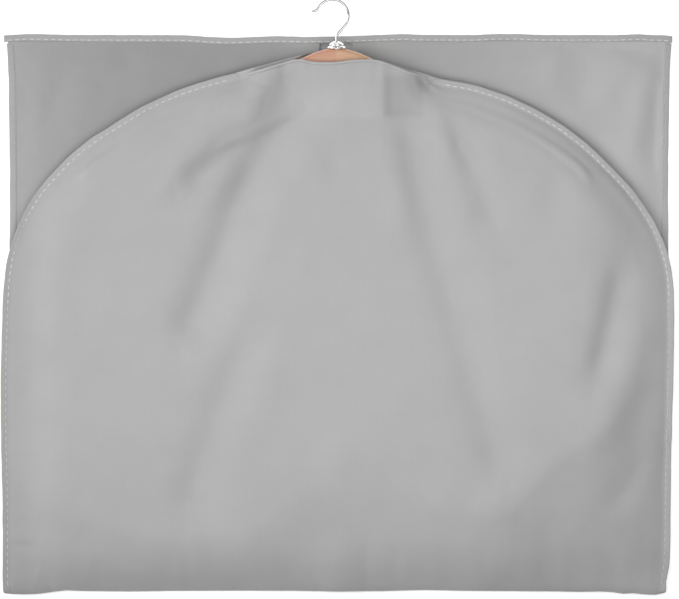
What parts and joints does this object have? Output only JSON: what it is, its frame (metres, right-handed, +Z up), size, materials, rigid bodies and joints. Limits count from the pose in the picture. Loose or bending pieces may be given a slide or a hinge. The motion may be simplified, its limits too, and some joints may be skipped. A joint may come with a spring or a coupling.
{
  "type": "garment bag",
  "caption": "Long non-woven garment bag folded in half and lying flat, zip side inward, with a lacquered wooden hanger inside and its swivel hook out of the neck opening.",
  "frame": {"origin": "centre of the bounding box's underside, on the surface that the folded bag lies on", "axes": "+X along the fold, to the right as the plain side is seen; +Y from the fold to the hanger hook; +Z up, out of the plain panel of the upper half"},
  "size_m": [0.615, 0.5419, 0.0291],
  "materials": {
    "nonwoven_cloth": "matte grey spun-bonded non-woven, fine diagonal emboss",
    "binding_tape": "matte grey non-woven strip folded over the edge and stitched",
    "zip_tape": "matte woven polyester tape",
    "zip_coil": "nylon coil, satin",
    "zip_stop": "crimped metal",
    "zip_metal": "nickel plated, slightly satin",
    "hanger_wood": "clear lacquered, glossy",
    "dowel_wood": "plain beech",
    "hook_chrome": "polished",
    "sleeve_steel": "zinc plated"
  },
  "bodies": {
    "lower_half": {"bottom_hem_binding": "binding_tape", "fold_binding_left": "binding_tape", "fold_binding_right": "binding_tape", "fold_wrap_inner": "nonwoven_cloth", "fold_wrap_outer": "nonwoven_cloth", "lower_plain_panel": "nonwoven_cloth", "lower_side_binding_left": "binding_tape", "lower_side_binding_right": "binding_tape", "lower_zip_coil_left": "zip_coil", "lower_zip_coil_right": "zip_coil", "lower_zip_panel_left": "nonwoven_cloth", "lower_zip_panel_right": "nonwoven_cloth", "lower_zip_tape_left": "zip_tape", "lower_zip_tape_right": "zip_tape", "zip_bottom_stop": "zip_stop"},
    "upper_half": {"hanger_arm_left": "hanger_wood", "hanger_arm_right": "hanger_wood", "hanger_dowels": "dowel_wood", "hook_collar": "hook_chrome", "hook_sleeve": "sleeve_steel", "neck_binding_back_left": "binding_tape", "neck_binding_back_right": "binding_tape", "neck_binding_front": "binding_tape", "upper_edge_binding_left": "binding_tape", "upper_edge_binding_right": "binding_tape", "upper_plain_panel": "nonwoven_cloth", "upper_zip_coil_left": "zip_coil", "upper_zip_coil_right": "zip_coil", "upper_zip_panel_left": "nonwoven_cloth", "upper_zip_panel_right": "nonwoven_cloth", "upper_zip_tape_left": "zip_tape", "upper_zip_tape_right": "zip_tape", "zip_top_stops": "zip_stop"},
    "hook": {"hanger_hook": "hook_chrome"},
    "zip_slider": {"zip_slider": "zip_metal"},
    "zip_pull_tab": {"zip_pull_tab": "zip_metal"}
  },
  "joints": [
    {"name": "fold", "type": "hinge", "parent": "lower_half", "child": "upper_half", "pos_m": [0, -0.2607, 0.0102], "axis": [1, 0, 0], "range_deg": [0, 177], "deforming": ["fold_wrap_outer", "fold_wrap_inner", "fold_binding_left", "fold_binding_right"]},
    {"name": "hook_swivel", "type": "hinge", "parent": "upper_half", "child": "hook", "pos_m": [0, 0.215, 0.021], "axis": [0, 1, 0], "continuous": true},
    {"name": "zip_travel", "type": "slide", "parent": "upper_half", "child": "zip_slider", "axis": [0, -1, 0], "range_m": [0, 0.42]},
    {"name": "pull_tab_pivot", "type": "hinge", "parent": "zip_slider", "child": "zip_pull_tab", "pos_m": [0, 0.2, 0.0096], "axis": [1, 0, 0], "range_deg": [0, 5]}
  ]
}
